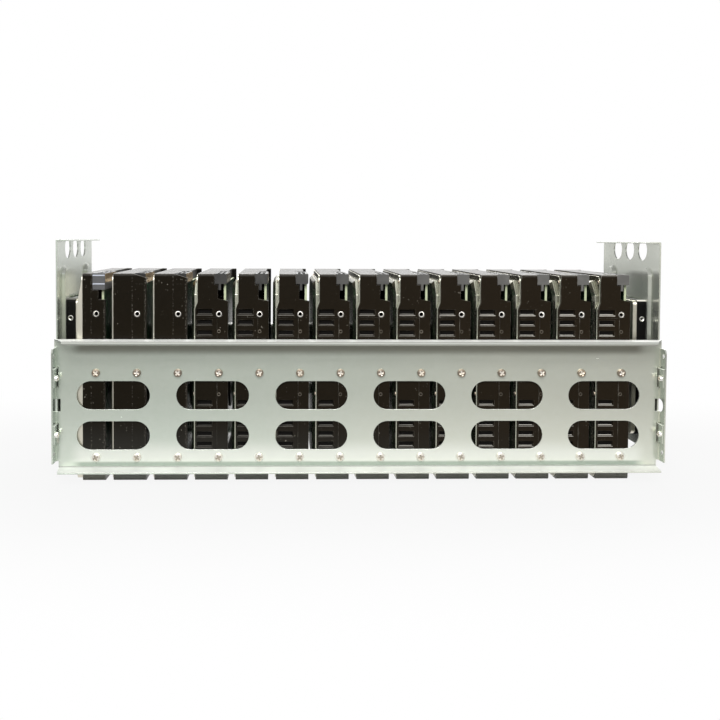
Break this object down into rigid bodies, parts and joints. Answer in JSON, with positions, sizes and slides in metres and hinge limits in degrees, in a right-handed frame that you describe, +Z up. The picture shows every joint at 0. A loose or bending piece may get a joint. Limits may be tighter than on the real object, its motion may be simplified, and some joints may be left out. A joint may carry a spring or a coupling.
{
  "type": "rack drive cage with hard drives",
  "caption": "Open galvanised sheet-steel cage for a rack case, with windowed folded panels, tall perforated side walls and a row of hard drives screwed in on end.",
  "frame": {"origin": "under the middle of the cage, on the surface that the drives' lower ends stand on", "axes": "+X along the row of drives, +Y from the front panel to the rear panel, +Z up"},
  "size_m": [0.4318, 0.1328, 0.1706],
  "materials": {
    "galvanised_steel": "satin galvanised sheet",
    "screw_steel": "nickel-plated, bright",
    "drive_casting": "black e-coated casting, semi-gloss",
    "drive_lid": "bright pressed sheet",
    "circuit_board": "green solder resist",
    "connector_plastic": "dark grey moulding",
    "old_connector_plastic": "blue-grey moulding",
    "small_drive_lid": "cream-white pressed lid",
    "small_drive_casting": "black casting, semi-gloss"
  },
  "bodies": {
    "root": {"drive_01_base": "drive_casting", "drive_01_board": "circuit_board", "drive_01_connector": "old_connector_plastic", "drive_01_lid": "drive_lid", "drive_02_base": "drive_casting", "drive_02_board": "circuit_board", "drive_02_lid": "drive_lid", "drive_03_base": "drive_casting", "drive_03_board": "circuit_board", "drive_03_lid": "drive_lid", "drive_04_base": "drive_casting", "drive_04_board": "circuit_board", "drive_04_lid": "drive_lid", "drive_05_base": "drive_casting", "drive_05_board": "circuit_board", "drive_05_lid": "drive_lid", "drive_06_base": "drive_casting", "drive_06_board": "circuit_board", "drive_06_lid": "drive_lid", "drive_07_base": "drive_casting", "drive_07_board": "circuit_board", "drive_07_lid": "drive_lid", "drive_08_base": "drive_casting", "drive_08_board": "circuit_board", "drive_08_lid": "drive_lid", "drive_09_base": "drive_casting", "drive_09_board": "circuit_board", "drive_09_lid": "drive_lid", "drive_10_base": "drive_casting", "drive_10_board": "circuit_board", "drive_10_lid": "drive_lid", "drive_11_base": "drive_casting", "drive_11_board": "circuit_board", "drive_11_lid": "drive_lid", "drive_12_base": "drive_casting", "drive_12_board": "circuit_board", "drive_12_lid": "drive_lid", "drive_13_base": "drive_casting", "drive_13_board": "circuit_board", "drive_13_lid": "drive_lid", "drive_14_base": "drive_casting", "drive_14_board": "circuit_board", "drive_14_lid": "drive_lid", "front_drive_screws": "screw_steel", "front_panel": "galvanised_steel", "left_small_base": "small_drive_casting", "left_small_board": "circuit_board", "left_small_lid": "small_drive_lid", "left_wall": "galvanised_steel", "rear_drive_screws": "screw_steel", "rear_panel": "galvanised_steel", "right_small_base": "small_drive_casting", "right_small_board": "circuit_board", "right_small_lid": "small_drive_lid", "right_wall": "galvanised_steel", "sata_connectors": "connector_plastic", "small_drive_screws": "screw_steel", "tab_screws": "screw_steel"}
  },
  "joints": []
}
